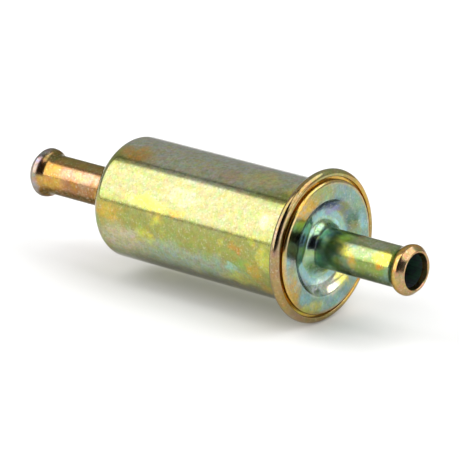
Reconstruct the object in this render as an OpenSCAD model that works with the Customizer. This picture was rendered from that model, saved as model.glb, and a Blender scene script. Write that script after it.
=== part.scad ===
// In-line fuel filter with a pressed steel canister and a spring-held paper element.
// All sizes are millimetres. +X runs along the flow, from the inlet tube to the outlet tube,
// +Z is up, and the origin is on the axis, half-way between the two tube tips.

/* [Canister] */
// Outside diameter of the canister
can_d = 24.2; // [23.6:0.1:25]
// Length from the flat inlet end to the middle of the rolled seam
can_l = 49.4; // [44:0.2:60]
// Thickness of the canister and cover sheet
sheet = 0.65; // [0.6:0.01:0.68]
// Radial width of the rounded shoulder at the inlet end
shoulder_r = 6.2; // [5.6:0.1:6.4]
// Axial length of the rounded shoulder at the inlet end
shoulder_l = 3.7; // [3:0.1:4]

/* [Seam and cover] */
// Outside diameter of the rolled seam
seam_d = 30.2; // [30:0.1:30.4]
// Thickness of the sealing compound inside the seam
seal_t = 0.12; // [0.1:0.01:0.14]
// Outside diameter of the raised panel of the cover
panel_d = 26.4; // [26.2:0.1:26.6]
// Height of the raised panel above the middle of the seam
panel_h = 1.6; // [1.5:0.05:1.8]
// Diameter where the dished centre begins
dish_d = 18.6; // [18:0.1:19]
// Height of the dished floor above the middle of the seam
dish_h = 0.1; // [0:0.05:0.3]

/* [Tubes] */
// Outside diameter of both hose tubes (5/16 inch hose)
tube_d = 8.0; // [7.9:0.05:8]
// Bore of both hose tubes
bore_d = 6.6; // [6.2:0.1:6.8]
// Outside diameter of the bead at the tube tip
bead_d = 9.9; // [9.6:0.1:10.4]
// Diameter of the flared mouth at the tube tip
mouth_d = 7.1; // [7:0.05:7.2]
// Length of the inlet tube outside the canister
inlet_reach = 22.0; // [18:0.2:28]
// Length of the outlet tube from the middle of the seam
outlet_reach = 22.8; // [20:0.2:28]

/* [Filter element] */
// Number of paper pleats
pleats = 30; // [20:1:32]
// Thickness of the filter paper
paper_t = 0.3; // [0.2:0.01:0.32]
// Outside diameter of the element end caps
cap_d = 21.4; // [21:0.1:21.4]
// Thickness of the end cap sheet
cap_t = 0.5; // [0.4:0.02:0.5]
// Outside diameter of the perforated core tube
core_d = 12.8; // [12.6:0.1:13]
// Distance from the flat inlet end to the back of the element
element_back = 9.5; // [9:0.1:10.5]

/* [Spring] */
// Wire diameter of the element spring
wire_d = 0.8; // [0.6:0.05:0.85]
// Mean coil diameter of the element spring
coil_d = 13.2; // [13:0.1:13.4]
// Number of turns of the element spring
turns = 4.5; // [4:0.5:5]

/* [Hidden] */
$fn = 96;

// Radii
can_r = can_d / 2;
tube_r = tube_d / 2;
bore_r = bore_d / 2;
bead_r = bead_d / 2;
mouth_r = mouth_d / 2;
seam_r = seam_d / 2;
panel_r = panel_d / 2;
dish_r = dish_d / 2;
cap_r = cap_d / 2;
core_r = core_d / 2;
coil_r = coil_d / 2;
wire_r = wire_d / 2;

// Stations along X
total_l = inlet_reach + can_l + outlet_reach;
x_inlet_tip = -total_l / 2;
x_can = x_inlet_tip + inlet_reach;
x_seam = x_can + can_l;

// Joint of tube and sheet: collars turned inwards and a hollow fillet of braze outside
braze_gap = 0.05;
hole_r = tube_r + braze_gap;
collar_l = 2.2;
cover_collar_l = 1.5;
inlet_stub = 4.2;
outlet_stub = 3.4;

// Rolled seam: the canister's flange folded over the edge of the cover, with compound between
root_r = 0.5;
fold_in = sheet / 2 + seal_t / 2;
fold_out = fold_in + sheet;
fold_r = seam_r - fold_out;
flange_r = fold_r - 0.05;
flange_back = seal_t - fold_in;
groove_w = 0.5;
lip_edge_r = 0.3;

// Dish of the cover
panel_edge_r = 0.7;
dish_edge_r = 0.7;
dish_floor_r = 4;
slope_deg = 45;

// Tube tip: a small round lip, a cone, a bead crest and a long hollow slope down to the tube
crest_r = bead_r - tube_r;
crest_x = 1.5;
crest_back_r = 2.2;
bead_fillet_r = 2.2;
lip_r = 0.3;
lip_x = 0.3;
flare_l = 1.2;

// Element stations
element_travel = 1.6;
seat_gap = 0.05;
x_cap_back = x_can + element_back;
x_seal = x_seam + dish_h - sheet - seat_gap;
grommet_face = 1.0;
x_cap_front = x_seal - grommet_face;
bond_t = 1.0;
lip_l = 2.5;
x_media_0 = x_cap_back + cap_t + bond_t;
x_media_1 = x_cap_front - cap_t - bond_t;
core_t = 0.4;
media_in = core_r + 0.2;
media_out = cap_r - cap_t - 0.1;

// Guide plate and spring seat
guide_t = 0.4;
guide_gap = 0.07;
guide_arms = 4;
arm_w = 5;
arm_l = 4;
boss_r = 5.2;
boss_h = 1.0;
seat_t = 0.5;
seat_r = 8.2;
seat_lip = 1.6;
x_seat = x_can + 1.0;

// Perforated core
core_hole_r = 1.0;
core_rows = 8;
core_holes = 8;

// Seam clip on the two end pleats
clip_t = 0.25;
clip_deg = 12;

// Points along a round stretch of an outline, as [radius, station]
function arc(c, r, a0, a1, n = 10) =
    [for (i = [0:n]) let (a = a0 + (a1 - a0) * i / n) [c[0] + r * cos(a), c[1] + r * sin(a)]];

// Points along an oval stretch of an outline
function oval(c, rr, rx, a0, a1, n = 16) =
    [for (i = [0:n]) let (a = a0 + (a1 - a0) * i / n) [c[0] + rr * cos(a), c[1] + rx * sin(a)]];

function unit(v) = v / norm(v);
function left_of(v) = [-v[1], v[0]];
function reversed(p) = [for (i = [len(p) - 1:-1:0]) p[i]];

// A path moved sideways by d, to its left where d is positive, with mitred corners
function beside(p, d) = [
    for (i = [0:len(p) - 1])
        let (
            back = left_of(unit(i == 0 ? p[1] - p[0] : p[i] - p[i - 1])),
            ahead = left_of(unit(i == len(p) - 1 ? p[i] - p[i - 1] : p[i + 1] - p[i]))
        )
        p[i] + d * (back + ahead) / (1 + back * ahead)
];

// Turns an outline of [radius, station] points about the X axis
module turned(outline, x = 0) {
    translate([x, 0, 0]) rotate([0, 90, 0]) rotate_extrude() polygon(outline);
}

// Plain ring about the X axis, from station x0 to station x1
module ring(r_in, r_out, x0, x1) {
    turned([[r_in, x0], [r_out, x0], [r_out, x1], [r_in, x1]]);
}

// Deep-drawn can: flat end with an inward collar, rounded shoulder and flange folded to the front
module canister_shell() {
    corner = [can_r - shoulder_r, shoulder_l];
    root = [can_r + root_r, can_l - fold_out - root_r];
    lip_in_r = panel_r + groove_w;
    color("khaki") turned(concat(
        [[hole_r, 0]],
        oval(corner, shoulder_r, shoulder_l, -90, 0),
        arc(root, root_r, 180, 90, 6),
        arc([fold_r, can_l], fold_out, -90, 90, 16),
        arc([lip_in_r + lip_edge_r, can_l + fold_out - lip_edge_r], lip_edge_r, 90, 180, 5),
        [[lip_in_r, can_l + fold_in]],
        arc([fold_r, can_l], fold_in, 90, -90, 8),
        arc(root, root_r + sheet, 90, 180, 8),
        oval(corner, shoulder_r - sheet, shoulder_l - sheet, 0, -90),
        arc([hole_r + 2 * sheet, 2 * sheet], sheet, 270, 180, 6),
        [[hole_r + sheet, collar_l], [hole_r, collar_l]]
    ), x_can);
}

// Front side of the cover sheet, from its hole out to the wall of the raised panel
function cover_front() =
    let (
        edge_w = dish_edge_r * sin(slope_deg),
        floor_w = dish_floor_r * sin(slope_deg),
        bends_h = (dish_edge_r + dish_floor_r) * (1 - cos(slope_deg)),
        slope_w = (panel_h - dish_h - bends_h) / tan(slope_deg)
    )
    concat(
        [[hole_r, dish_h]],
        arc([dish_r - slope_w - floor_w, dish_h + dish_floor_r], dish_floor_r, 270, 270 + slope_deg, 10),
        arc([dish_r + edge_w, panel_h - dish_edge_r], dish_edge_r, 90 + slope_deg, 90, 5),
        arc([panel_r - panel_edge_r, panel_h - panel_edge_r], panel_edge_r, 90, 0, 7),
        [[panel_r, fold_in]]
    );

// Pressed cover: inward collar, dish, raised panel and the flange that the canister is folded over
module end_cover() {
    color("khaki") turned(concat(
        cover_front(),
        [[flange_r, fold_in], [flange_r, flange_back], [panel_r - sheet, flange_back]],
        [for (p = reversed(beside(cover_front(), -sheet))) if (p[0] > hole_r + 0.01 && p[1] > -sheet) p],
        arc([hole_r + 2 * sheet, dish_h - 2 * sheet], sheet, 90, 180, 6),
        [[hole_r + sheet, dish_h - cover_collar_l], [hole_r, dish_h - cover_collar_l]]
    ), x_seam);
}

// Sealing compound: a film behind the cover's flange and a bead in the bend of the fold
module seam_sealant() {
    film_r = panel_r - sheet + 0.3;
    color("dimgray") turned(concat(
        [[film_r, -fold_in], [film_r, flange_back], [flange_r, flange_back], [flange_r, fold_in]],
        arc([fold_r, 0], fold_in, 90, -90, 8)
    ), x_seam);
}

// Hose tube with its tip at station 0: flared mouth, round lip, cone and bead
module hose_tube(length) {
    lean = atan((tube_r - (mouth_r + lip_r)) / (crest_x - lip_x));
    spread = asin((crest_r - lip_r) / norm([crest_x - lip_x, tube_r - mouth_r - lip_r]));
    tangent = lean + spread;
    back_sum = crest_back_r + bead_fillet_r;
    back_deg = acos(1 - crest_r / back_sum);
    fillet_x = crest_x + back_sum * sin(back_deg);
    turned(concat(
        [[bore_r, flare_l]],
        arc([mouth_r + lip_r, lip_x], lip_r, 180, 360 - tangent, 8),
        arc([tube_r, crest_x], crest_r, -tangent, 0, 8),
        arc([bead_r - crest_back_r, crest_x], crest_back_r, 0, back_deg, 6),
        arc([tube_r + bead_fillet_r, fillet_x], bead_fillet_r, 180 + back_deg, 180, 6),
        [[tube_r, length], [bore_r, length]]
    ));
}

module inlet_tube() {
    color("peru") translate([x_inlet_tip, 0, 0]) hose_tube(inlet_reach + inlet_stub);
}

module outlet_tube() {
    color("darkkhaki") translate([total_l / 2, 0, 0]) rotate([0, 180, 0])
        hose_tube(outlet_reach + outlet_stub);
}

// Hollow-sided ring of braze metal that runs from radius r_wide down to the tube over a length
module braze(r_wide, length) {
    rise = r_wide - tube_r;
    turned(concat([[tube_r, 0]], oval([r_wide, length], rise, length, 270, 180, 8)));
}

module inlet_braze() {
    color("goldenrod") translate([x_can, 0, 0]) rotate([0, 180, 0]) braze(tube_r + 1.2, 1.3);
}

module outlet_braze() {
    color("olivedrab") translate([x_seam + dish_h, 0, 0]) braze(tube_r + 2, 2);
}

// Dished washer that keeps the fixed end of the spring off the canister corner
module spring_seat() {
    inner_r = hole_r + sheet + 0.15;
    color("silver") turned([
        [inner_r, 0], [seat_r, 0], [seat_r, seat_lip], [seat_r - seat_t, seat_lip],
        [seat_r - seat_t, seat_t], [inner_r, seat_t]
    ], x_seat);
}

// Coil spring with a closed turn at each end, swept as rings of points along its centre line
module element_spring() {
    sides = 8;
    steps = 18;
    free = x_cap_back - guide_t - x_seat - seat_t - wire_d;
    last = turns * steps;
    closed = steps;
    pitch = (free - 2 * 0.5 * wire_d) / (last - 2 * closed);
    function climb(i) = i <= closed ? i / closed * 0.5 * wire_d
        : i >= last - closed ? free - (last - i) / closed * 0.5 * wire_d
        : 0.5 * wire_d + (i - closed) * pitch;
    points = [
        for (i = [0:last], j = [0:sides - 1])
            let (turn = i * 360 / steps, a = j * 360 / sides, r = coil_r + wire_r * cos(a))
            [climb(i) + wire_r * sin(a), r * cos(turn), r * sin(turn)]
    ];
    skin = [
        for (i = [0:last - 1], j = [0:sides - 1])
            let (k = (j + 1) % sides)
            [i * sides + j, i * sides + k, (i + 1) * sides + k, (i + 1) * sides + j]
    ];
    ends = [[for (j = [sides - 1:-1:0]) j], [for (j = [0:sides - 1]) last * sides + j]];
    color("slategray") translate([x_seat + seat_t + wire_r, 0, 0])
        polyhedron(points, concat(skin, ends));
}

// Star plate that keeps the element central: a boss for the spring and bent arms on the bore
module element_guide() {
    leg_r = can_r - sheet - guide_gap;
    color("silver") difference() {
        union() {
            turned([
                [0, -guide_t - boss_h], [boss_r - 0.6, -guide_t - boss_h], [boss_r, -guide_t],
                [cap_r, -guide_t], [cap_r, 0], [boss_r - guide_t, 0],
                [boss_r - 0.6 - guide_t, -boss_h], [0, -boss_h]
            ], x_cap_back);
            intersection() {
                turned([
                    [cap_r - 1, -guide_t], [leg_r, -guide_t], [leg_r, arm_l],
                    [leg_r - guide_t, arm_l], [leg_r - guide_t, 0], [cap_r - 1, 0]
                ], x_cap_back);
                for (i = [0:guide_arms / 2 - 1]) rotate([i * 360 / guide_arms, 0, 0])
                    translate([x_cap_back, 0, arm_l / 2])
                        cube([4 * arm_l, 4 * can_r, arm_w], center = true);
            }
        }
        for (i = [0:guide_arms - 1]) rotate([(i + 0.5) * 360 / guide_arms, 0, 0])
            translate([x_cap_back - guide_t - 1, 0, cap_r + 1])
                rotate([0, 90, 0]) cylinder(r = 4.2, h = guide_t + 2);
    }
}

// Pressed end cap with its face at station 0 and its lip towards +X; hole_at 0 leaves it closed
module end_cap(hole_at) {
    edge_r = 0.6;
    turned(concat(
        [[hole_at, 0]],
        arc([cap_r - edge_r, edge_r], edge_r, -90, 0, 5),
        [[cap_r, lip_l + cap_t], [cap_r - cap_t, lip_l + cap_t],
            [cap_r - cap_t, cap_t], [hole_at, cap_t]]
    ));
}

module inlet_end_cap() {
    color("lightgray") translate([x_cap_back, 0, 0]) end_cap(0);
}

module outlet_end_cap() {
    color("lightgray") translate([x_cap_front, 0, 0]) rotate([0, 180, 0])
        end_cap(tube_r + 1.2);
}

// Moulded bond that holds the pleats in a cap
module inlet_bond() {
    color("sienna") ring(core_r, cap_r - cap_t, x_cap_back + cap_t, x_media_0);
}

module outlet_bond() {
    color("sienna") ring(core_r, cap_r - cap_t, x_media_1, x_cap_front - cap_t);
}

// Core of the element: a tube with staggered rows of round holes
module core_tube() {
    x0 = x_cap_back + cap_t;
    x1 = x_cap_front - cap_t;
    row = (x_media_1 - x_media_0) / core_rows;
    color("darkgray") difference() {
        ring(core_r - core_t, core_r, x0, x1);
        for (i = [0:core_rows - 1], j = [0:core_holes - 1])
            translate([x_media_0 + (i + 0.5) * row, 0, 0])
                rotate([(j + (i % 2) / 2) * 360 / core_holes, 0, 0])
                    translate([0, 0, core_r - 2]) cylinder(r = core_hole_r, h = 4, $fn = 24);
    }
}

// Centre line of the folded paper: flat-topped folds between two end tabs beside the clip
function fold_line() =
    let (
        step = (360 - 2 * clip_deg) / pleats,
        tip_deg = step * 0.12,
        root_deg = step * 0.16,
        low = media_in + paper_t / 2,
        high = media_out - paper_t / 2
    )
    [
        for (i = [0:pleats - 1])
            let (mid = clip_deg + (i + 0.5) * step)
            for (q = [
                [low, mid - step / 2 + root_deg], [high, mid - tip_deg],
                [high, mid + tip_deg], [low, mid + step / 2 - root_deg]
            ]) q[0] * [cos(q[1]), sin(q[1])]
    ];

// Pleated paper, folded along X and joined at the seam under the clip
module pleated_media() {
    tab_y = paper_t / 2 + 0.02;
    line = concat(
        [[media_out - 0.6, tab_y], [media_in + 0.5, tab_y]],
        fold_line(),
        [[media_in + 0.5, -tab_y], [media_out - 0.6, -tab_y]]
    );
    color("ivory") translate([x_media_0, 0, 0]) rotate([90, 0, 90])
        linear_extrude(x_media_1 - x_media_0)
            polygon(concat(beside(line, paper_t / 2), reversed(beside(line, -paper_t / 2))));
}

// Folded steel strip that pinches the two end tabs of the paper together
module media_clip() {
    inner_y = paper_t + 0.05;
    top = media_out - 0.3;
    depth = 2.2;
    color("silver") translate([x_media_0, 0, 0]) rotate([90, 0, 90])
        linear_extrude(x_media_1 - x_media_0) difference() {
            translate([top - depth, -inner_y - clip_t]) square([depth, 2 * (inner_y + clip_t)]);
            translate([top - depth - clip_t, -inner_y]) square([depth, 2 * inner_y]);
        }
}

// Rubber seal in the outlet cap: a face recessed for the cover's collar, a waist and a lip inside
module outlet_grommet() {
    inner_r = tube_r + 0.08;
    waist_r = tube_r + 1.2;
    face_r = waist_r + 1.8;
    recess_r = hole_r + sheet + 0.1;
    recess = cover_collar_l - sheet;
    color("black") turned([
        [inner_r, -recess], [recess_r, -recess], [recess_r, -sheet], [recess_r + sheet, 0],
        [face_r, 0], [face_r, -grommet_face], [waist_r, -grommet_face],
        [waist_r, -grommet_face - cap_t], [core_r - core_t - 0.1, -grommet_face - cap_t],
        [waist_r + 0.1, -grommet_face - cap_t - 1.2], [inner_r, -grommet_face - cap_t - 1.2]
    ], x_seal);
}

canister_shell();
end_cover();
seam_sealant();
inlet_tube();
inlet_braze();
outlet_tube();
outlet_braze();
spring_seat();
element_spring();
element_guide();
inlet_end_cap();
inlet_bond();
core_tube();
pleated_media();
media_clip();
outlet_bond();
outlet_end_cap();
outlet_grommet();
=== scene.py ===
"""Looks of the in-line fuel filter: its plated steel skin, spring and paper, around the CAD frame.

Outlines are [radius, station] points in millimetres, as in the CAD source, and become metres in meshes.
Angles round the axis are degrees from the top of the part, positive towards +Y.
"""

import math

import bmesh
import bpy
from mathutils import Matrix, Vector, noise


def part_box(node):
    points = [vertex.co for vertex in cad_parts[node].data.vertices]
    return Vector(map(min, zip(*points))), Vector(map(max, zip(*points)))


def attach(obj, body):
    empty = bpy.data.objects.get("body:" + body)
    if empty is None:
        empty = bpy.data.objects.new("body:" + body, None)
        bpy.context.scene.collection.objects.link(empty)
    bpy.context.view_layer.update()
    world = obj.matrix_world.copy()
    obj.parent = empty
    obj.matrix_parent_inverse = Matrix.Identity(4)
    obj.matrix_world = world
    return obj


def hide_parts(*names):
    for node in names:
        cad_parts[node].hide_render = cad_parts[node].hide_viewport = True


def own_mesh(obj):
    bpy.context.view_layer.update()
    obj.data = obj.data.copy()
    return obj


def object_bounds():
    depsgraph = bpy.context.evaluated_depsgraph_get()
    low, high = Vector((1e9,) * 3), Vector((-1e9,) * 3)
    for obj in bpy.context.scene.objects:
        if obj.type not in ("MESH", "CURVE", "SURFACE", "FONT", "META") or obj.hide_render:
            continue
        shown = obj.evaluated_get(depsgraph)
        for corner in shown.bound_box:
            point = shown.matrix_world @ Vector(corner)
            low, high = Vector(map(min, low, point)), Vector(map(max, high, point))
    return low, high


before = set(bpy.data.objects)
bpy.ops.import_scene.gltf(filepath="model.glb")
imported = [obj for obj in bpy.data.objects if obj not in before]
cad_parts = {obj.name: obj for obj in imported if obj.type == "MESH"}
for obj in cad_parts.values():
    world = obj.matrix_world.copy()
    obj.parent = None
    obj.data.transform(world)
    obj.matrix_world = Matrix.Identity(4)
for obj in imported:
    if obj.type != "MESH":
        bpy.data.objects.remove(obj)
CAD_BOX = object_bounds()

MM = 0.001
AROUND = 240  # steps round the axis in every turned piece
SHARP_DEG = 40  # an edge that turns more than this stays crisp
SAME_POINT = 1e-6  # points of an outline that are nearer than this are one
SLACK = 0.01  # room for rounding where a radius is compared, in millimetres

# Sheet, seam and cover, in millimetres
SHEET = 0.65
CAN_R = 12.1
SHOULDER_R = 6.2  # the shoulder is a quarter of an oval, this wide
SHOULDER_L = 3.7  # and this long
SEAM_R = 15.09  # a hair under the CAD seam, so that the finer skin stays inside its box
SEAL_T = 0.12
PANEL_R = 13.2
PANEL_H = 1.6
PANEL_EDGE_R = 0.7
DISH_R = 9.3
DISH_H = 0.1
DISH_EDGE_R = 0.7
DISH_FLOOR_R = 4.0
SLOPE_DEG = 45  # of the wall between the dish and the panel
COLLAR_L = 2.2
COVER_COLLAR_L = 1.5
ROOT_R = 0.5  # bend between the can's wall and its flange
GROOVE_W = 0.5
LIP_EDGE_R = 0.3
FOLD_IN = SHEET / 2 + SEAL_T / 2  # radii of the fold's bend, inside and outside
FOLD_OUT = FOLD_IN + SHEET
FOLD_R = SEAM_R - FOLD_OUT  # distance of the bend's centre from the axis
FLANGE_R = FOLD_R - 0.05  # edge of the cover, just short of the bend
FLANGE_BACK = SEAL_T - FOLD_IN
WAVE_H = 0.012  # height of the waves that deep drawing leaves in the can's wall
WAVE_L = 9.0  # their length along it
WAVE_ROUND = 2.2  # their number round it grows with this
WAVE_FADE = 4.0  # length over which they fade out towards its ends

# Hose tubes, in millimetres
TUBE_R = 4.0
BORE_R = 3.3
BEAD_R = 4.95
MOUTH_R = 3.55
HOLE_R = TUBE_R + 0.05  # the gap stands for the film of braze
CREST_X = 1.5  # where the bead is widest, from the tip
CREST_BACK_R = 2.2
LIP_R = 0.3
LIP_X = 0.3
FLARE_L = 1.2
BEAD_FILLET_R = 2.2
INLET_BRAZE_W = 1.2  # how far each braze ring spreads on the sheet, and how far it climbs the tube
INLET_BRAZE_L = 1.3
OUTLET_BRAZE_W = 2.0
OUTLET_BRAZE_L = 2.0
BRAZE_WAVE = 0.35  # unevenness of the braze, as a share of its thickness

# Element, in millimetres
PLEATS = 30
PAPER_T = 0.3
MEDIA_IN = 6.6
MEDIA_OUT = 10.1
TAB_Y = PAPER_T / 2 + 0.02  # the paper's two ends lie this far each side of the clip's middle
TAB_IN = MEDIA_IN + 0.5
TAB_OUT = MEDIA_OUT - 0.6
CLIP_DEG = 12  # half the angle that the clip keeps free of pleats
FOOT_SHARE = 0.34  # half-widths of a pleat at its foot and at its crest, as shares of the pitch
CREST_SHARE = 0.12
CORNER_CUT = 0.2  # share of a stretch that goes at each end when corners are rounded
COIL_R = 6.6
COIL_STEPS = 40  # steps in one turn of the spring
WIRE_R = 0.4
WIRE_SIDES = 16
TURNS = 4.5


def station(node, end):
    """Where a CAD node starts (end 0) or stops (end 1) along X, in millimetres."""
    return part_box(node)[end].x / MM


X_CAN = station("canister_shell", 0)
X_SEAM = station("canister_shell", 1) - FOLD_OUT
CAN_L = X_SEAM - X_CAN


# ---------------------------------------------------------------- outlines

def arc(centre, radius, start, end, steps=20):
    """Round stretch of an outline, from one angle in degrees to another."""
    return oval(centre, radius, radius, start, end, steps)


def oval(centre, wide, tall, start, end, steps=28):
    """Oval stretch of an outline, wide in radius and tall in station."""
    turns = [math.radians(start + (end - start) * i / steps) for i in range(steps + 1)]
    return [[centre[0] + wide * math.cos(t), centre[1] + tall * math.sin(t)] for t in turns]


def beside(path, distance):
    """The path moved sideways, to its left where distance is positive, with mitred corners."""
    def left_of(a, b):
        run, rise = b[0] - a[0], b[1] - a[1]
        size = math.hypot(run, rise)
        return -rise / size, run / size

    moved = []
    for i, (r, s) in enumerate(path):
        back = left_of(path[max(i - 1, 0)], path[max(i, 1)])
        ahead = left_of(path[min(i, len(path) - 2)], path[min(i + 1, len(path) - 1)])
        scale = distance / (1 + back[0] * ahead[0] + back[1] * ahead[1])
        moved.append([r + scale * (back[0] + ahead[0]), s + scale * (back[1] + ahead[1])])
    return moved


def part_way(a, b, share):
    """Point that share of the way from a to b."""
    return [a[0] + (b[0] - a[0]) * share, a[1] + (b[1] - a[1]) * share]


def sides(outline):
    """Each point of a closed outline with the next one."""
    return zip(outline, outline[1:] + outline[:1])


def with_steps(outline, longest=0.9):
    """The closed outline with extra points, so that no straight stretch is longer than that."""
    dense = []
    for a, b in sides(outline):
        parts = max(1, math.ceil(math.dist(a, b) / longest))
        dense += [part_way(a, b, k / parts) for k in range(parts)]
    return dense


def canister_outline():
    """Deep-drawn can: flat end with an inward collar, rounded shoulder and flange folded to the front."""
    corner = [CAN_R - SHOULDER_R, SHOULDER_L]
    root = [CAN_R + ROOT_R, CAN_L - FOLD_OUT - ROOT_R]
    lip_in_r = PANEL_R + GROOVE_W
    return (
        [[HOLE_R, 0]]
        + oval(corner, SHOULDER_R, SHOULDER_L, -90, 0)
        + arc(root, ROOT_R, 180, 90)
        + arc([FOLD_R, CAN_L], FOLD_OUT, -90, 90, 40)
        + arc([lip_in_r + LIP_EDGE_R, CAN_L + FOLD_OUT - LIP_EDGE_R], LIP_EDGE_R, 90, 180, 10)
        + [[lip_in_r, CAN_L + FOLD_IN]]
        + arc([FOLD_R, CAN_L], FOLD_IN, 90, -90)
        + arc(root, ROOT_R + SHEET, 90, 180)
        + oval(corner, SHOULDER_R - SHEET, SHOULDER_L - SHEET, 0, -90)
        + arc([HOLE_R + 2 * SHEET, 2 * SHEET], SHEET, 270, 180)
        + [[HOLE_R + SHEET, COLLAR_L], [HOLE_R, COLLAR_L]]
    )


def cover_front():
    """Front side of the cover sheet, from its hole out to the wall of the raised panel."""
    slope = math.radians(SLOPE_DEG)
    edge_w = DISH_EDGE_R * math.sin(slope)
    floor_w = DISH_FLOOR_R * math.sin(slope)
    bends_h = (DISH_EDGE_R + DISH_FLOOR_R) * (1 - math.cos(slope))
    slope_w = (PANEL_H - DISH_H - bends_h) / math.tan(slope)
    return (
        [[HOLE_R, DISH_H]]
        + arc([DISH_R - slope_w - floor_w, DISH_H + DISH_FLOOR_R], DISH_FLOOR_R, 270, 270 + SLOPE_DEG)
        + arc([DISH_R + edge_w, PANEL_H - DISH_EDGE_R], DISH_EDGE_R, 90 + SLOPE_DEG, 90)
        + arc([PANEL_R - PANEL_EDGE_R, PANEL_H - PANEL_EDGE_R], PANEL_EDGE_R, 90, 0)
        + [[PANEL_R, FOLD_IN]]
    )


def cover_outline():
    """Pressed cover: inward collar, dish, raised panel and the flange that the can is folded over."""
    sheet_back = reversed(beside(cover_front(), -SHEET))
    back = [point for point in sheet_back if point[0] > HOLE_R + SLACK and point[1] > -SHEET]
    return (
        cover_front()
        + [[FLANGE_R, FOLD_IN], [FLANGE_R, FLANGE_BACK], [PANEL_R - SHEET, FLANGE_BACK]]
        + back
        + arc([HOLE_R + 2 * SHEET, DISH_H - 2 * SHEET], SHEET, 90, 180)
        + [[HOLE_R + SHEET, DISH_H - COVER_COLLAR_L], [HOLE_R, DISH_H - COVER_COLLAR_L]]
    )


def tube_outline(length):
    """Hose tube with its tip at station 0: flared mouth, round lip, cone and bead."""
    crest_r = BEAD_R - TUBE_R
    inward = TUBE_R - MOUTH_R - LIP_R
    lean = math.atan(inward / (CREST_X - LIP_X))
    spread = math.asin((crest_r - LIP_R) / math.hypot(CREST_X - LIP_X, inward))
    tangent = math.degrees(lean + spread)
    back_sum = CREST_BACK_R + BEAD_FILLET_R
    back_deg = math.degrees(math.acos(1 - crest_r / back_sum))
    fillet_x = CREST_X + back_sum * math.sin(math.radians(back_deg))
    return (
        [[BORE_R, FLARE_L]]
        + arc([MOUTH_R + LIP_R, LIP_X], LIP_R, 180, 360 - tangent, 16)
        + arc([TUBE_R, CREST_X], crest_r, -tangent, 0)
        + arc([BEAD_R - CREST_BACK_R, CREST_X], CREST_BACK_R, 0, back_deg)
        + arc([TUBE_R + BEAD_FILLET_R, fillet_x], BEAD_FILLET_R, 180 + back_deg, 180)
        + [[TUBE_R, length], [BORE_R, length]]
    )


def braze_outline(wide_r, length):
    """Hollow-sided ring of braze metal that runs from a wide radius down to the tube."""
    return [[TUBE_R, 0]] + oval([wide_r, length], wide_r - TUBE_R, length, 270, 180, 24)


# ---------------------------------------------------------------- meshes

def finish_mesh(bm, name):
    """Object from a bmesh, smooth except at its sharp edges, and linked to the scene."""
    bmesh.ops.recalc_face_normals(bm, faces=bm.faces)
    mesh = bpy.data.meshes.new(name)
    bm.to_mesh(mesh)
    bm.free()
    mesh.shade_smooth()
    mesh.set_sharp_from_angle(angle=math.radians(SHARP_DEG))
    piece = bpy.data.objects.new(name, mesh)
    bpy.context.scene.collection.objects.link(piece)
    return piece


def bridge(bm, rings):
    """Quads between each ring of vertices and the next."""
    for ring, following in zip(rings, rings[1:]):
        for i in range(len(ring)):
            j = (i + 1) % len(ring)
            bm.faces.new((ring[i], ring[j], following[j], following[i]))


def lathe(name, outline, x, heading=1, shift=None):
    """Piece turned from a closed outline about the X axis; its station 0 is at x, and heading is 1 or -1.

    shift(radius, station, angle), where given, is how far a point's radius moves, in millimetres.
    """
    bm = bmesh.new()
    rings = []
    for radius, along in [a for a, b in sides(outline) if math.dist(a, b) > SAME_POINT]:
        ring = []
        for i in range(AROUND):
            turn = 2 * math.pi * i / AROUND
            r = radius + (shift(radius, along, turn) if shift else 0)
            at = Vector((x + heading * along, r * math.sin(turn), r * math.cos(turn)))
            ring.append(bm.verts.new(at * MM))
        rings.append(ring)
    bridge(bm, rings + rings[:1])
    return finish_mesh(bm, name)


def drawn_wave(radius, along, turn):
    """Faint waves that deep drawing leaves in the can's wall, none at its two ends."""
    end = CAN_L - WAVE_FADE
    if radius > CAN_R + SLACK or not SHOULDER_L < along < end:
        return 0
    fade = min(1, (along - SHOULDER_L) / WAVE_FADE, (end - along) / WAVE_FADE)
    at = Vector((along / WAVE_L, WAVE_ROUND * math.sin(turn), WAVE_ROUND * math.cos(turn)))
    return WAVE_H * fade * noise.noise(at)


def braze_wave(radius, along, turn):
    """Unevenness of the braze metal where it ran out along the tube."""
    if radius <= TUBE_R + SAME_POINT:
        return 0
    at = Vector((along * 0.8, 1.3 * math.sin(turn), 1.3 * math.cos(turn)))
    return BRAZE_WAVE * (radius - TUBE_R) * noise.noise(at)


def sweep_spring(name, x0, x1):
    """Coil spring between two stations, with a closed turn at each end."""
    free = x1 - x0 - 2 * WIRE_R
    last = int(TURNS * COIL_STEPS)
    closed_rise = WIRE_R
    rise = (free - 2 * closed_rise) / (last - 2 * COIL_STEPS)

    def climb(i):
        if i <= COIL_STEPS:
            return i / COIL_STEPS * closed_rise
        if i >= last - COIL_STEPS:
            return free - (last - i) / COIL_STEPS * closed_rise
        return closed_rise + (i - COIL_STEPS) * rise

    bm = bmesh.new()
    rings = []
    for i in range(last + 1):
        turn = 2 * math.pi * i / COIL_STEPS
        centre = x0 + WIRE_R + climb(i)
        ring = []
        for j in range(WIRE_SIDES):
            a = 2 * math.pi * j / WIRE_SIDES
            r = COIL_R + WIRE_R * math.cos(a)
            at = Vector((centre + WIRE_R * math.sin(a), r * math.cos(turn), r * math.sin(turn)))
            ring.append(bm.verts.new(at * MM))
        rings.append(ring)
    bridge(bm, rings)
    bm.faces.new(rings[0])
    bm.faces.new(rings[-1])
    return finish_mesh(bm, name)


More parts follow.
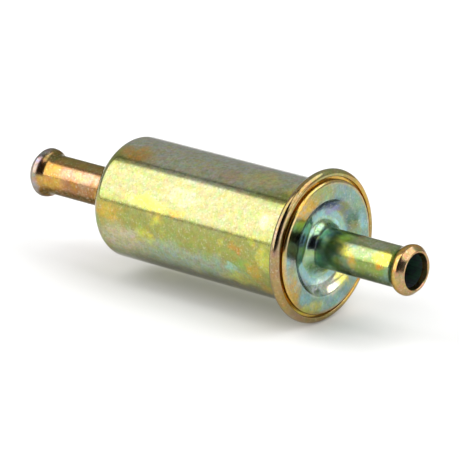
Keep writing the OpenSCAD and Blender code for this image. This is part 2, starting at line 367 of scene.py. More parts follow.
def fold_line():
    """Centre line of the folded paper as [y, z] points, from one end tab beside the clip to the other.

    The clip is at +Y, and the angles here are counted from it.
    """
    pitch = (360 - 2 * CLIP_DEG) / PLEATS
    foot, crest = pitch * FOOT_SHARE, pitch * CREST_SHARE
    low, high = MEDIA_IN + PAPER_T / 2, MEDIA_OUT - PAPER_T / 2
    line = [[TAB_OUT, TAB_Y], [TAB_IN, TAB_Y]]
    for i in range(PLEATS):
        mid = CLIP_DEG + (i + 0.5) * pitch
        for r, deg in ((low, mid - foot), (high, mid - crest), (high, mid + crest), (low, mid + foot)):
            line.append([r * math.cos(math.radians(deg)), r * math.sin(math.radians(deg))])
    return line + [[TAB_IN, -TAB_Y], [TAB_OUT, -TAB_Y]]


def rounded(path, rounds=3):
    """The path with its corners cut again and again, so that each fold is a soft bend."""
    for _ in range(rounds):
        cut = [path[0]]
        for a, b in zip(path, path[1:]):
            cut += [part_way(a, b, CORNER_CUT), part_way(b, a, CORNER_CUT)]
        path = cut + [path[-1]]
    return path


def extrude_paper(name, x0, x1, sections=12):
    """The pleated paper: both sides of its centre line, drawn out along X."""
    line = rounded(fold_line())
    loop = beside(line, PAPER_T / 2) + list(reversed(beside(line, -PAPER_T / 2)))
    bm = bmesh.new()
    rings = []
    for k in range(sections + 1):
        x = x0 + (x1 - x0) * k / sections
        rings.append([bm.verts.new(Vector((x, y, z)) * MM) for y, z in loop])
    bridge(bm, rings)
    half = len(line)
    for ring in (rings[0], rings[-1]):
        for i in range(half - 1):
            bm.faces.new((ring[i], ring[i + 1], ring[2 * half - 2 - i], ring[2 * half - 1 - i]))
    return finish_mesh(bm, name)


# ---------------------------------------------------------------- materials

def srgb(red, green, blue):
    """Linear colour from 0 to 255 screen values."""
    def linear(v):
        v /= 255
        return v / 12.92 if v <= 0.04045 else ((v + 0.055) / 1.055) ** 2.4

    return linear(red), linear(green), linear(blue), 1.0


# Fine grain of the plating: each channel is multiplied by swing x noise + base, then specks are laid on
HUE_SWING = (1.1, 0.9, 1.7)
HUE_BASE = (0.46, 0.56, 0.14)
DARK_SPECK = srgb(104, 98, 56)
PALE_SPECK = srgb(218, 214, 186)

# Film colours of the plating, and the colours that paint highlight, shade and reflection on it
OLIVE = srgb(153, 156, 86)
OLIVE_GREY = srgb(190, 192, 172)
BEIGE = srgb(200, 190, 160)
GREEN = srgb(144, 170, 88)
DEEP_GREEN = srgb(76, 116, 66)
SEA_GREEN = srgb(112, 160, 124)
TEAL = srgb(146, 178, 156)
LIGHT_TEAL = srgb(164, 182, 162)
PAINTED_UNDERSIDE_SHADE = srgb(128, 124, 108)
# Greyed colour for painted shade on the can's underside
CYAN = srgb(162, 208, 200)
# Dark slate for painted shade in the dish and at the outlet tube's foot
SLATE_PAINTED_SHADE = srgb(92, 104, 132)
# Navy for the painted shade arc at the top of the dish
NAVY_PAINTED_SHADE = srgb(48, 66, 100)
PALE_BLUE = srgb(140, 182, 182)
BLUE_TEAL = srgb(124, 154, 146)
GREY_TEAL = srgb(142, 160, 146)
# Near-white for the painted highlight on the dish's lower slope
PAINTED_DISH_HIGHLIGHT = srgb(222, 242, 228)
# Dark grey painted on the panel where it mirrors the outlet tube: a painted reflection
PAINTED_TUBE_REFLECTION = srgb(122, 112, 112)
# Grey for painted shade under the outlet tube
GREY_PAINTED_SHADE = srgb(72, 78, 84)
# Violet for painted shade on the dish's upper slope
VIOLET_PAINTED_SHADE = srgb(138, 130, 178)
YELLOW = srgb(212, 204, 84)
# Paler colour for the painted highlight along the can's lit band
PAINTED_HIGHLIGHT_BAND = srgb(170, 165, 126)
GOLD = srgb(204, 164, 72)
ORANGE = srgb(200, 134, 56)
ROSE = srgb(172, 130, 98)
RIM = srgb(160, 136, 86)
RIM_PINK = srgb(160, 134, 106)
BEAD_ROSE = srgb(186, 142, 108)
COPPER = srgb(158, 110, 66)
TUBE_GOLD = srgb(182, 146, 64)
TUBE_TEAL = srgb(128, 158, 138)
TUBE_GREEN = srgb(128, 152, 80)
TUBE_OLIVE = srgb(144, 150, 82)
BROWN = srgb(88, 70, 36)
LILAC = srgb(158, 152, 152)
# Pale colour laid where highlights fall: a painted highlight
PAINTED_HIGHLIGHT = srgb(226, 214, 184)
BROAD_EDGE = srgb(226, 226, 231)  # what the film leaves of the light at glancing angles
TUBE_EDGE = srgb(195, 194, 188)


class Finish:
    """One material's node tree, with short calls for the nodes that finishes share. Places are in mm."""

    def __init__(self, name, metallic=0.0):
        self.material = bpy.data.materials.new(name)
        self.material.use_nodes = True
        self.tree = self.material.node_tree
        self.shader = self.tree.nodes["Principled BSDF"]
        self.shader.inputs["Metallic"].default_value = metallic
        metres = self.tree.nodes.new("ShaderNodeTexCoord").outputs["Object"]
        self.place = self.vector("SCALE", metres, scale=1 / MM)

    def node(self, kind, **options):
        """New node of that kind, with those of its options set."""
        made = self.tree.nodes.new(kind)
        for name, value in options.items():
            setattr(made, name, value)
        return made

    def feed(self, socket, value):
        """Links a node's output to the socket, or sets the socket to a plain value."""
        if isinstance(value, bpy.types.NodeSocket):
            self.tree.links.new(value, socket)
        else:
            socket.default_value = value

    def math(self, operation, *values):
        """Output of a sum over numbers."""
        made = self.node("ShaderNodeMath", operation=operation)
        for socket, value in zip(made.inputs, values):
            self.feed(socket, value)
        return made.outputs[0]

    def vector(self, operation, *values, scale=None):
        """Output of a sum over places or colours."""
        made = self.node("ShaderNodeVectorMath", operation=operation)
        for socket, value in zip(made.inputs, values):
            self.feed(socket, value)
        if scale is not None:
            self.feed(made.inputs["Scale"], scale)
        return made.outputs["Value" if operation == "LENGTH" else "Vector"]

    def noise(self, per_mm, detail=2.0, roughness=0.5, stretch=(1, 1, 1), seed=0.0, output="Fac"):
        """Noise with that many features per millimetre, from 0 to 1 with most of it near 0.5."""
        at = self.vector("MULTIPLY_ADD", self.place, stretch, (seed, 1.7 * seed, 0.6 * seed))
        made = self.node("ShaderNodeTexNoise")
        self.feed(made.inputs["Vector"], at)
        made.inputs["Scale"].default_value = per_mm
        made.inputs["Detail"].default_value = detail
        made.inputs["Roughness"].default_value = roughness
        return made.outputs[output]

    def between(self, value, low, high):
        """0 at low, 1 at high and a smooth step between them; low may be the larger."""
        made = self.node("ShaderNodeMapRange", interpolation_type="SMOOTHSTEP")
        self.feed(made.inputs["Value"], value)
        made.inputs["From Min"].default_value = low
        made.inputs["From Max"].default_value = high
        return made.outputs["Result"]

    def mix(self, factor, a, b):
        """Colour a where the factor is 0 and b where it is 1."""
        made = self.node("ShaderNodeMixRGB")
        for socket, value in zip(made.inputs, (factor, a, b)):
            self.feed(socket, value)
        return made.outputs[0]

    def ramp(self, value, stops):
        """Colour ramp over (position, colour) stops."""
        made = self.node("ShaderNodeValToRGB")
        self.feed(made.inputs["Fac"], value)
        elements = made.color_ramp.elements
        while len(elements) < len(stops):
            elements.new(0.5)
        for element, (position, colour) in zip(elements, stops):
            element.position = position
            element.color = colour
        return made.outputs["Color"]

    def bump(self, height, microns):
        """Bump of that height where height goes from 0 to 1."""
        made = self.node("ShaderNodeBump")
        made.inputs["Distance"].default_value = microns * MM * MM
        self.feed(made.inputs["Height"], height)
        self.feed(self.shader.inputs["Normal"], made.outputs["Normal"])

    def finish(self, colour, roughness, height, microns):
        """Connects the colour, roughness and bump, and returns the material."""
        self.feed(self.shader.inputs["Base Color"], colour)
        self.feed(self.shader.inputs["Roughness"], roughness)
        self.bump(height, microns)
        return self.material


def on_skin(x, theta, radius):
    """Place in mm at a station along X, an angle from the top and a distance from the axis."""
    t = math.radians(theta)
    return x, radius * math.sin(t), radius * math.cos(t)


def ring_mask(f, radius, low, high):
    """1 between two distances from the axis, with soft edges."""
    soft = 0.3  # millimetres
    inner = f.between(radius, low - soft, low + soft)
    return f.math("MULTIPLY", inner, f.between(radius, high + soft, high - soft))


def patch_mask(f, place, torn, centre, size, edge):
    """1 in an oval of that size, fading over its edge and torn by noise."""
    away = f.vector("DIVIDE", f.vector("SUBTRACT", place, centre), size)
    return f.math("MULTIPLY", f.between(f.vector("LENGTH", away), 1 + edge, 1 - edge), torn)


def film_grain(f, colour, specks, seed):
    """The colour with a fine drift of hue, dark specks and pale specks."""
    hues = f.noise(0.7, detail=5, roughness=0.75, seed=seed + 1, output="Color")
    colour = f.vector("MULTIPLY", colour, f.vector("MULTIPLY_ADD", hues, HUE_SWING, HUE_BASE))
    colour = f.mix(f.math("MULTIPLY", f.between(specks, 0.50, 0.70), 0.45), colour, DARK_SPECK)
    pale = f.noise(1.9, detail=3, roughness=0.7, seed=seed + 3)
    return f.mix(f.math("MULTIPLY", f.between(pale, 0.54, 0.70), 0.40), colour, PALE_SPECK)


def zinc(name, ground, patches, seed, rings=(), edge_tint=(1, 1, 1, 1), roughness=0.15, wander=1.2):
    """Yellow-passivated zinc plate: a drifting film colour, patches of other colours, and fine grain.

    ground holds (position, colour) stops along the drift. rings holds (colour, strength,
    inner and outer distance from the axis). patches holds (colour, strength, place, size,
    edge): an oval of that size whose outline wanders by about that many millimetres.
    """
    f = Finish(name, metallic=1.0)
    f.shader.inputs["Specular Tint"].default_value = edge_tint
    colour = f.ramp(f.noise(0.17, detail=5, roughness=0.6, seed=seed), ground)
    radius = f.vector("LENGTH", f.vector("MULTIPLY", f.place, (0, 1, 1)))
    for ring_colour, strength, low, high in rings:
        mask = f.math("MULTIPLY", ring_mask(f, radius, low, high), strength)
        colour = f.mix(mask, colour, ring_colour)
    torn = f.between(f.noise(1.1, detail=4, roughness=0.7, seed=seed + 9), 0.34, 0.62)
    torn = f.math("MULTIPLY_ADD", torn, 0.5, 0.5)
    sway = f.noise(0.35, detail=4, seed=seed + 5, output="Color")
    sway = f.vector("SUBTRACT", sway, (0.5, 0.5, 0.5))
    # This noise mostly stays within a quarter of its middle, so four times it sways by about wander.
    swayed = f.vector("MULTIPLY_ADD", sway, (4 * wander,) * 3, f.place)
    for patch_colour, strength, *oval_of_patch in patches:
        mask = f.math("MULTIPLY", patch_mask(f, swayed, torn, *oval_of_patch), strength)
        colour = f.mix(mask, colour, patch_colour)
    specks = f.noise(2.4, detail=4, roughness=0.75, seed=seed + 2)
    colour = film_grain(f, colour, specks, seed)
    rough = f.noise(0.9, detail=4, roughness=0.65, seed=seed + 4)
    rough = f.math("MULTIPLY_ADD", rough, 0.14, roughness - 0.07)
    dents = f.noise(0.8, detail=3, roughness=0.6, seed=seed + 7)
    return f.finish(colour, rough, f.math("MULTIPLY_ADD", specks, 0.5, dents), 6.0)


def tin_plate():
    """Bright tin plate, with faint rolling lines along X and a slight yellow haze."""
    f = Finish("tin_plate", metallic=1.0)
    lines = f.noise(1.5, detail=3, roughness=0.7, stretch=(0.06, 1, 1), seed=3)
    haze = f.noise(0.25, detail=3, seed=8)
    colour = f.ramp(haze, [(0.3, srgb(196, 198, 196)), (0.7, srgb(178, 174, 158))])
    colour = f.mix(f.math("MULTIPLY", f.between(lines, 0.45, 0.7), 0.3), colour, srgb(132, 132, 130))
    return f.finish(colour, f.math("MULTIPLY_ADD", lines, 0.2, 0.18), lines, 1.5)


def spring_steel():
    """Drawn spring wire: grey with a straw-blue heat tint and long draw marks."""
    f = Finish("spring_steel", metallic=1.0)
    tint = f.noise(0.35, detail=3, seed=1)
    marks = f.noise(6, detail=2, roughness=0.7, stretch=(1, 0.25, 0.25), seed=2)
    straw, grey, blue = srgb(134, 126, 108), srgb(108, 104, 96), srgb(92, 98, 112)
    colour = f.ramp(tint, [(0.3, grey), (0.5, straw), (0.7, blue)])
    colour = f.mix(f.math("MULTIPLY", f.between(marks, 0.5, 0.75), 0.4), colour, srgb(62, 60, 58))
    return f.finish(colour, f.math("MULTIPLY_ADD", marks, 0.2, 0.28), marks, 2.0)


def filter_paper():
    """Resin-cured filter paper: warm ivory, short fibres and embossed dots, fully matte."""
    f = Finish("filter_paper")
    fibres = f.noise(5, detail=5, roughness=0.75, stretch=(0.5, 1, 1), seed=6)
    cloud = f.noise(0.5, detail=3, seed=7)
    colour = f.ramp(cloud, [(0.3, srgb(222, 196, 138)), (0.7, srgb(206, 172, 108))])
    colour = f.mix(f.math("MULTIPLY", f.between(fibres, 0.48, 0.68), 0.5), colour, srgb(240, 226, 186))
    return f.finish(colour, f.math("MULTIPLY_ADD", fibres, 0.1, 0.85), fibres, 18)


def moulded(name, dark, light, grain_per_mm, roughness):
    """Moulded rubber or plastic: mottled colour with a fine moulding grain."""
    f = Finish(name)
    grain = f.noise(grain_per_mm, detail=3, roughness=0.65, seed=4)
    cloud = f.noise(0.6, detail=3, seed=5)
    mottle = f.math("MULTIPLY_ADD", grain, 0.4, f.math("MULTIPLY", cloud, 0.6))
    colour = f.ramp(mottle, [(0.35, dark), (0.65, light)])
    return f.finish(colour, f.math("MULTIPLY_ADD", grain, 0.2, roughness - 0.1), grain, 8)


def bore_skin(name, seed):
    """Unpolished inside of a tube: thin plate over drawn steel, dull and dark."""
    f = Finish(name, metallic=1.0)
    lines = f.noise(2.5, detail=3, roughness=0.7, stretch=(0.08, 1, 1), seed=seed)
    blotch = f.noise(0.5, detail=3, seed=seed + 1)
    colour = f.ramp(blotch, [(0.40, srgb(104, 150, 128)), (0.60, srgb(112, 104, 126))])
    colour = f.mix(f.math("MULTIPLY", f.between(lines, 0.45, 0.7), 0.5), colour, srgb(58, 54, 66))
    return f.finish(colour, f.math("MULTIPLY_ADD", lines, 0.2, 0.35), lines, 3)


def canister_zinc():
    """Olive-yellow side, grey top, gold and teal patches, a painted highlight band, painted shade
    underneath and a gold folded rim.
    """
    r = CAN_R
    rim_x = X_SEAM + 0.5
    return zinc("zinc_canister", [(0.30, GREEN), (0.44, OLIVE), (0.56, OLIVE), (0.70, YELLOW)], [
        (OLIVE_GREY, 1.0, (-2, 2, 15), (27, 12.5, 9), 0.16),
        (GOLD, 0.9, on_skin(-17.3, -24, r), (3.8, 2.0, 2.0), 0.6),
        (ORANGE, 0.5, on_skin(-16.5, -27, r), (1.8, 1.2, 1.2), 0.6),
        (ORANGE, 0.35, on_skin(5.2, -23, r), (2.4, 1.8, 1.8), 0.7),
        (YELLOW, 0.5, on_skin(12.5, -13, r), (3.8, 2.6, 2.6), 0.6),
        # Painted highlight: a paler band and pale spots along the can's lit band
        (PAINTED_HIGHLIGHT_BAND, 0.8, on_skin(0, -56, r), (30, 4.5, 4.5), 0.4),
        (PAINTED_HIGHLIGHT, 0.3, on_skin(-2.0, -56, r), (4.0, 1.2, 1.2), 0.6),
        (PAINTED_HIGHLIGHT, 0.5, on_skin(19.0, -56, r), (1.6, 1.2, 1.2), 0.6),
        (YELLOW, 0.8, on_skin(-10.0, -70, r), (4.0, 1.4, 1.4), 0.6),
        (GOLD, 0.9, on_skin(-2.7, -73, r), (1.9, 0.8, 0.8), 0.6),
        (GOLD, 0.8, on_skin(-19.5, -88, r), (3.0, 1.8, 1.8), 0.6),
        (ORANGE, 0.7, on_skin(13.5, -87, r), (1.5, 0.8, 0.8), 0.6),
        (YELLOW, 0.7, on_skin(19.5, -90, r), (1.6, 2.2, 2.2), 0.6),
        # Painted shade along the can's underside
        (PAINTED_UNDERSIDE_SHADE, 0.9, on_skin(0, -146, r), (27, 4.0, 4.0), 0.4),
        (LIGHT_TEAL, 0.9, on_skin(-1.0, -117, r), (14.0, 3.0, 3.0), 0.5),
        (CYAN, 0.7, on_skin(11.5, -112, r), (1.8, 1.0, 1.0), 0.6),
        (GOLD, 0.9, on_skin(16.8, -108, r), (1.6, 2.2, 2.2), 0.6),
        (YELLOW, 0.7, on_skin(11.8, -122, r), (3.4, 1.4, 1.4), 0.6),
        (GOLD, 0.8, on_skin(19.0, -128, r), (1.6, 1.8, 1.8), 0.6),
        (BEIGE, 0.9, on_skin(-16.5, -114, r), (5.5, 3.2, 3.2), 0.5),
        # Painted highlight where the lit band meets the shoulder
        (PAINTED_HIGHLIGHT, 0.5, on_skin(-23.5, -80, r - 1), (1.4, 3.0, 3.0), 0.5),
        (GOLD, 0.8, on_skin(rim_x, 55, 14.2), (3.0, 5.5, 6.0), 0.5),
        (GOLD, 0.8, on_skin(rim_x, 142, 14.2), (3.0, 3.5, 3.5), 0.5),
        (OLIVE, 0.7, on_skin(rim_x, 8, 14.4), (3.0, 5.0, 1.6), 0.5),
        (RIM_PINK, 0.9, on_skin(rim_x, -75, 14.2), (3.0, 2.2, 7.0), 0.5),
        (RIM_PINK, 0.7, on_skin(rim_x, 215, 14.4), (3.0, 5.0, 2.4), 0.5),
    ], seed=11.0, rings=[(RIM, 1.0, 12.9, 20.0)], edge_tint=BROAD_EDGE)


def cover_zinc():
    """Blue-teal cover with a gold upper left, a navy arc and other arcs of painted shade in the dish, a
    painted highlight low in the dish, a painted reflection of the tube and a gold edge.
    """
    x = X_SEAM + PANEL_H
    return zinc("zinc_cover", [(0.34, PALE_BLUE), (0.48, BLUE_TEAL), (0.60, GREY_TEAL), (0.72, OLIVE)], [
        (GOLD, 1.0, on_skin(x, -34, 11.2), (3, 4.0, 3.0), 0.5),
        (OLIVE, 0.9, on_skin(x, -8, 11.2), (3, 4.2, 1.6), 0.5),
        (ORANGE, 0.3, on_skin(x, -22, 11.0), (3, 1.6, 1.0), 0.6),
        (GREEN, 0.5, on_skin(x, -52, 10.6), (3, 1.2, 1.6), 0.5),
        # Painted reflection of the outlet tube on the panel's left
        (PAINTED_TUBE_REFLECTION, 1.0, on_skin(x, -76, 9.2), (3, 3.2, 3.6), 0.4),
        # Painted shade: violet on the dish's upper slope
        (VIOLET_PAINTED_SHADE, 0.8, on_skin(x, 24, 7.4), (3, 2.4, 1.0), 0.5),
        (DEEP_GREEN, 0.6, on_skin(x, 72, 8.8), (3, 1.0, 2.8), 0.5),
        (OLIVE, 0.6, on_skin(x, 84, 9.0), (3, 1.2, 2.0), 0.5),
        # Painted highlight on the dish's lower slope
        (PAINTED_DISH_HIGHLIGHT, 1.0, on_skin(x, 184, 7.7), (3, 3.4, 1.5), 0.5),
        (DEEP_GREEN, 0.8, on_skin(x, 193, 8.7), (3, 0.9, 0.5), 0.5),
        # Painted highlight, yellow and pale, on the dish's lower slope
        (YELLOW, 0.9, on_skin(x, 147, 8.8), (3, 1.4, 1.4), 0.5),
        (PAINTED_HIGHLIGHT, 0.7, on_skin(x, 168, 8.4), (3, 2.4, 1.4), 0.5),
        (YELLOW, 0.7, on_skin(x, 205, 12.3), (3, 4.0, 1.3), 0.5),
        (GOLD, 0.8, on_skin(x, 238, 12.6), (3, 2.0, 5.0), 0.5),
        # Painted shade: navy arc at the top of the dish
        (NAVY_PAINTED_SHADE, 1.0, on_skin(x, -6, 8.2), (3, 5.0, 1.1), 0.4),
    ], seed=23.0, wander=0.7, edge_tint=BROAD_EDGE, rings=[
        (PALE_BLUE, 0.7, 4.0, 7.3),
        # Painted shade: slate ring on the dish's slope
        (SLATE_PAINTED_SHADE, 0.45, 7.7, 8.7),
        (GOLD, 0.5, 12.4, 20.0),
        (GOLD, 0.9, 13.0, 20.0),
    ])


def inlet_zinc():
    """Gold and copper inlet tube with an olive top, a pale painted highlight, brown painted shade
    underneath and a grey-lilac tip.
    """
    x = X_CAN
    return zinc("zinc_inlet_tube", [(0.34, TUBE_GOLD), (0.48, COPPER), (0.62, ROSE)], [
        (OLIVE, 0.7, on_skin(x - 12, 4, 4.0), (16, 2.6, 1.4), 0.4),
        # Painted highlight: pale patch in the tube's lit band
        (PAINTED_HIGHLIGHT, 0.4, on_skin(x - 8, -56, 4.0), (7.0, 1.0, 1.0), 0.6),
        (GOLD, 0.5, on_skin(x - 17, -50, 4.0), (3.0, 1.2, 1.2), 0.5),
        (GOLD, 0.8, on_skin(x - 17, -90, 4.0), (3.6, 1.8, 1.8), 0.5),
        # Painted shade: brown along the tube's underside
        (BROWN, 1.0, on_skin(x - 10, -142, 4.2), (16, 2.6, 2.2), 0.3),
        (BROWN, 0.6, on_skin(x - 19, 0, 4.4), (3.0, 3.6, 1.2), 0.5),
        (LILAC, 1.0, on_skin(x - 22.5, 0, 0), (3.0, 12.0, 12.0), 0.15),
    ], seed=37.0, wander=0.5, edge_tint=TUBE_EDGE, roughness=0.22)


def outlet_zinc():
    """Green outlet tube with a dark mottled foot, grey painted shade at its foot and underneath, a
    painted yellow and pale highlight and a rose-gold bead.
    """
    x = X_SEAM
    return zinc("zinc_outlet_tube", [(0.34, TUBE_TEAL), (0.48, TUBE_GREEN), (0.64, TUBE_OLIVE)], [
        (SEA_GREEN, 0.9, on_skin(x + 3.4, 0, 0), (4.0, 6, 6), 0.3),
        (DEEP_GREEN, 0.9, on_skin(x + 5.6, -58, 4.2), (2.2, 1.4, 1.4), 0.7),
        (CYAN, 0.7, on_skin(x + 3.4, -36, 4.4), (1.0, 1.4, 1.2), 0.7),
        # Painted shade at the tube's foot, low on its near side
        (GREY_PAINTED_SHADE, 0.8, on_skin(x + 4.0, -96, 4.4), (1.6, 1.2, 1.2), 0.7),
        (GREEN, 0.9, on_skin(x + 6.8, -20, 4.2), (2.0, 1.6, 1.0), 0.7),
        (OLIVE_GREY, 0.8, on_skin(x + 14, 10, 4.2), (6.0, 3.2, 2.0), 0.4),
        # Painted highlight: yellow patch in the tube's lit band
        (YELLOW, 0.9, on_skin(x + 8.6, -62, 4.0), (1.8, 1.2, 1.2), 0.6),
        # Painted highlight: pale patch in the lit band
        (PAINTED_HIGHLIGHT, 0.25, on_skin(x + 12.5, -52, 4.0), (3.0, 1.0, 1.0), 0.6),
        # Painted highlight: yellow patch at the lit band's far end
        (YELLOW, 1.0, on_skin(x + 17.2, -56, 4.0), (2.2, 1.6, 1.6), 0.5),
        (GOLD, 0.9, on_skin(x + 10.4, -84, 4.0), (1.0, 1.3, 1.3), 0.6),
        (ORANGE, 0.9, on_skin(x + 17.0, -82, 4.0), (1.1, 0.5, 0.5), 0.6),
        # Painted shade along the tube's underside
        (GREY_PAINTED_SHADE, 0.8, on_skin(x + 12.0, -136, 4.2), (9.0, 1.8, 2.0), 0.5),
        (BEAD_ROSE, 1.0, on_skin(x + 22.3, 0, 0), (2.3, 9.0, 9.0), 0.15),
        (GOLD, 0.8, on_skin(x + 20.9, 0, 0), (1.0, 9.0, 9.0), 0.3),
    ], seed=41.0, wander=0.5, edge_tint=TUBE_EDGE, roughness=0.22)


# ---------------------------------------------------------------- pieces

def skin(piece, materials, body, node):
    """Gives the piece its materials and body, and hides the CAD node that it stands for."""
    for material in materials:
        piece.data.materials.append(material)
    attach(piece, body)
    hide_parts(node)
    return piece


def darken_bore(piece):
    """Puts the second material on the faces of a tube's bore."""
    for face in piece.data.polygons:
        if math.hypot(face.center.y, face.center.z) < (BORE_R + SLACK) * MM:
            face.material_index = 1


def plated_skin():
    """The steel skin that shows from outside."""
    can = lathe("canister", with_steps(canister_outline()), X_CAN, shift=drawn_wave)
    skin(can, [canister_zinc()], "housing", "canister_shell")
    cover = lathe("cover", cover_outline(), X_SEAM)
    skin(cover, [cover_zinc()], "housing", "end_cover")
    inlet_l = station("inlet_tube", 1) - station("inlet_tube", 0)
    inlet = lathe("inlet_hose_tube", tube_outline(inlet_l), station("inlet_tube", 0))
    finishes = [inlet_zinc(), bore_skin("inlet_bore", 51)]
    skin(inlet, finishes, "housing", "inlet_tube")
    outlet_l = station("outlet_tube", 1) - station("outlet_tube", 0)
    outlet = lathe("outlet_hose_tube", tube_outline(outlet_l), station("outlet_tube", 1), heading=-1)
    finishes = [outlet_zinc(), bore_skin("outlet_bore", 57)]
    skin(outlet, finishes, "housing", "outlet_tube")
    darken_bore(inlet)
    darken_bore(outlet)


def braze_rings():
    """The braze metal round the foot of each tube."""
    plate = zinc("braze_metal", [(0.35, CYAN), (0.5, TEAL), (0.65, GREEN)], [
        (TUBE_GOLD, 1.0, (X_CAN, 0, 0), (4, 8, 8), 0.1),
        (BROWN, 0.6, on_skin(X_CAN - 0.6, -80, 4.8), (1.2, 2.0, 3.0), 0.5),
        # Painted shade in the crease at the outlet tube's foot
        (SLATE_PAINTED_SHADE, 0.9, on_skin(X_SEAM + 1.2, -66, 4.4), (1.4, 1.2, 1.2), 0.4),
        (DEEP_GREEN, 0.8, on_skin(X_SEAM + 1.2, -140, 4.6), (1.4, 2.4, 2.4), 0.4),
    ], seed=61.0, roughness=0.2, wander=0.4)
    back = braze_outline(TUBE_R + INLET_BRAZE_W, INLET_BRAZE_L)
    inlet = lathe("inlet_braze_ring", back, X_CAN, heading=-1, shift=braze_wave)
    skin(inlet, [plate], "housing", "inlet_braze")
    front = braze_outline(TUBE_R + OUTLET_BRAZE_W, OUTLET_BRAZE_L)
    outlet = lathe("outlet_braze_ring", front, X_SEAM + DISH_H, shift=braze_wave)
    skin(outlet, [plate], "housing", "outlet_braze")


def element_parts():
    """The spring, with a mesh of its own, and the paper."""
    x0, x1 = station("element_spring", 0), station("element_spring", 1)
    spring = sweep_spring("spring", x0, x1)
    skin(spring, [spring_steel()], "housing", "element_spring")
    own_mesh(spring)
    paper = extrude_paper("paper_pleats", station("pleated_media", 0), station("pleated_media", 1))
    skin(paper, [filter_paper()], "element", "pleated_media")


def carried_nodes():
    """Materials of the CAD nodes that stay as they are."""
    tin = tin_plate()
    bond = moulded("end_bond", srgb(150, 92, 58), srgb(176, 116, 76), 1.5, 0.55)
    finishes = {
        "seam_sealant": moulded("sealing_compound", srgb(46, 44, 42), srgb(66, 62, 58), 2.0, 0.75),
        "spring_seat": tin, "element_guide": tin, "inlet_end_cap": tin,
        "core_tube": tin, "media_clip": tin, "outlet_end_cap": tin,
        "inlet_bond": bond, "outlet_bond": bond,
        "outlet_grommet": moulded("seal_rubber", srgb(24, 24, 25), srgb(38, 38, 40), 3.0, 0.7),
    }
    for node, material in finishes.items():
        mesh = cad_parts[node].data
        mesh.materials.clear()
        mesh.materials.append(material)


# ---------------------------------------------------------------- studio, in metres

# The camera's direction and lens, and how far it stands off, left of and above the seam's middle
AZIMUTH, ELEVATION = math.radians(39.81), math.radians(19.07)
LENS, SENSOR_W = 314.9, 36
DISTANCE, LEFT, RAISED = 0.7653, 0.01737, 0.00303
FLOOR_HALF = 4.0
CORNERS = ((-1, -1), (1, -1), (1, 1), (-1, 1))


def lay_floor(z):
    """Plain pale floor under the part."""
    bm = bmesh.new()
    bm.faces.new([bm.verts.new((a * FLOOR_HALF, b * FLOOR_HALF, z)) for a, b in CORNERS])
    floor = finish_mesh(bm, "floor")
    f = Finish("floor_paper")
    shade, light = (0.86, 0.86, 0.86, 1), (0.88, 0.88, 0.88, 1)
    tone = f.ramp(f.noise(0.02, detail=2), [(0.3, shade), (0.7, light)])
    f.feed(f.shader.inputs["Base Color"], tone)
    f.shader.inputs["Roughness"].default_value = 0.9
    f.shader.inputs["Specular IOR Level"].default_value = 0.1
    floor.data.materials.append(f.material)


def placed(side, up, back, at):
    """Matrix with those three axes, standing at that place."""
    return Matrix.Translation(at) @ Matrix((side, up, back)).transposed().to_4x4()


def panel_axes(back):
    """Axes of a panel that looks from a direction towards the part, its width level with X."""
    side = Vector((1, 0, 0))
    side = (side - back * side.dot(back)).normalized()
    return side, back.cross(side), back


def softbox(name, back, at, wide, tall, radiance):
    """Rectangular soft light at a place, looking along the reverse of a direction."""
    light = bpy.data.lights.new(name, "AREA")
    light.shape = "RECTANGLE"
    light.size, light.size_y = wide, tall
    light.energy = radiance * math.pi * wide * tall
    lamp = bpy.data.objects.new(name, light)
    lamp.matrix_world = placed(*panel_axes(back), at)
    lamp.visible_camera = False
    bpy.context.scene.collection.objects.link(lamp)
    return lamp


def flag(name, back, at, wide, tall):
    """Matte black card at a place, which gives metal a dark line; the camera doesn't see it."""
    side, up, _ = panel_axes(back)
    bm = bmesh.new()
    bm.faces.new([bm.verts.new(at + side * (a * wide / 2) + up * (b * tall / 2)) for a, b in CORNERS])
    card = finish_mesh(bm, name)
    f = Finish(name + "_cloth")
    tone = f.ramp(f.noise(0.05), [(0.3, srgb(30, 30, 30)), (0.7, srgb(36, 36, 36))])
    f.feed(f.shader.inputs["Base Color"], tone)
    f.shader.inputs["Roughness"].default_value = 1.0
    f.shader.inputs["Specular IOR Level"].default_value = 0.0
    card.data.materials.append(f.material)
    card.visible_camera = False


def across(lift_deg):
    """Direction across the part, that far above the horizon on the camera's side; 90 is straight up."""
    lift = math.radians(lift_deg)
    return Vector((0, -math.cos(lift), math.sin(lift)))


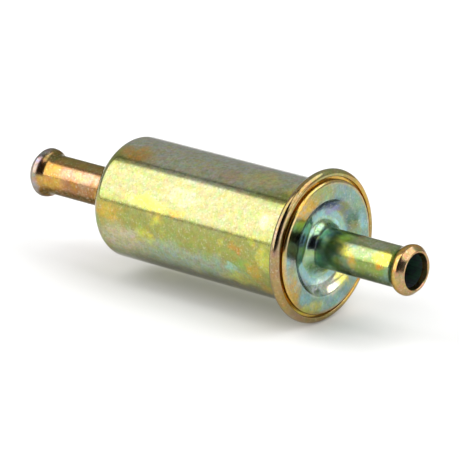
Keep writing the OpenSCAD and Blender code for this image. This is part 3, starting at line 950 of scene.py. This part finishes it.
def dim_room(bright, dim, towards, reach_deg, soft_deg):
    """World light of one level, smoothly dimmer in the directions round one of them."""
    world = bpy.data.worlds.new("studio")
    world.use_nodes = True
    tree = world.node_tree
    aligned = tree.nodes.new("ShaderNodeVectorMath")
    aligned.operation = "DOT_PRODUCT"
    aligned.inputs[1].default_value = Vector(towards).normalized()
    tree.links.new(tree.nodes.new("ShaderNodeTexCoord").outputs["Generated"], aligned.inputs[0])
    level = tree.nodes.new("ShaderNodeMapRange")
    level.interpolation_type = "SMOOTHSTEP"
    tree.links.new(aligned.outputs["Value"], level.inputs["Value"])
    level.inputs["From Min"].default_value = math.cos(math.radians(reach_deg + soft_deg))
    level.inputs["From Max"].default_value = math.cos(math.radians(reach_deg))
    level.inputs["To Min"].default_value = bright
    level.inputs["To Max"].default_value = dim
    background = tree.nodes["Background"]
    background.inputs["Color"].default_value = (1, 1, 1, 1)
    tree.links.new(level.outputs["Result"], background.inputs["Strength"])
    bpy.context.scene.world = world


def light_studio():
    """Pale room, dimmer on the camera's side, with a long softbox, smaller ones and two dark cards."""
    dim_room(bright=0.52, dim=0.22, towards=(0.55, -0.80, 0.25), reach_deg=30, soft_deg=30)
    key = across(lift_deg=42)
    softbox("key_softbox", key, key + Vector((-1.17, 0, 0)), wide=2.06, tall=1.53, radiance=2.05)
    beside_key = across(lift_deg=36)
    flag("side_flag", beside_key, beside_key + Vector((0.53, 0, 0)), wide=1.34, tall=1.3)
    top = across(lift_deg=89)
    flag("key_flag", top, top * 0.8, wide=2.6, tall=0.05)
    behind = Vector((0.5, 0.2, 0.8)).normalized()
    softbox("back_softbox", behind, behind, wide=0.8, tall=1.2, radiance=1.9)
    right = Vector((0.95, 0.10, 0.20)).normalized()
    softbox("right_softbox", right, right * 1.2, wide=0.8, tall=0.9, radiance=1.5)
    over = across(lift_deg=90)
    fill = softbox("floor_fill", over, over * 1.5, wide=3.0, tall=3.0, radiance=0.62)
    fill.visible_glossy = False
    fill.data.use_shadow = False


def place_camera():
    """Camera at the part's three-quarter view, from the outlet side and above."""
    level = Vector((math.sin(AZIMUTH), -math.cos(AZIMUTH), 0))
    back = level * math.cos(ELEVATION) + Vector((0, 0, math.sin(ELEVATION)))
    right = Vector((math.cos(AZIMUTH), math.sin(AZIMUTH), 0))
    up = back.cross(right)
    aim = Vector((X_SEAM * MM, 0, 0))
    data = bpy.data.cameras.new("camera")
    data.lens, data.sensor_width = LENS, SENSOR_W
    data.clip_start, data.clip_end = 0.05, 20
    camera = bpy.data.objects.new("camera", data)
    camera.matrix_world = placed(right, up, back, aim + back * DISTANCE - right * LEFT + up * RAISED)
    bpy.context.scene.collection.objects.link(camera)
    bpy.context.scene.camera = camera


plated_skin()
braze_rings()
element_parts()
carried_nodes()
lay_floor(CAD_BOX[0].z)
light_studio()
place_camera()
bpy.context.scene.view_settings.view_transform = "Standard"
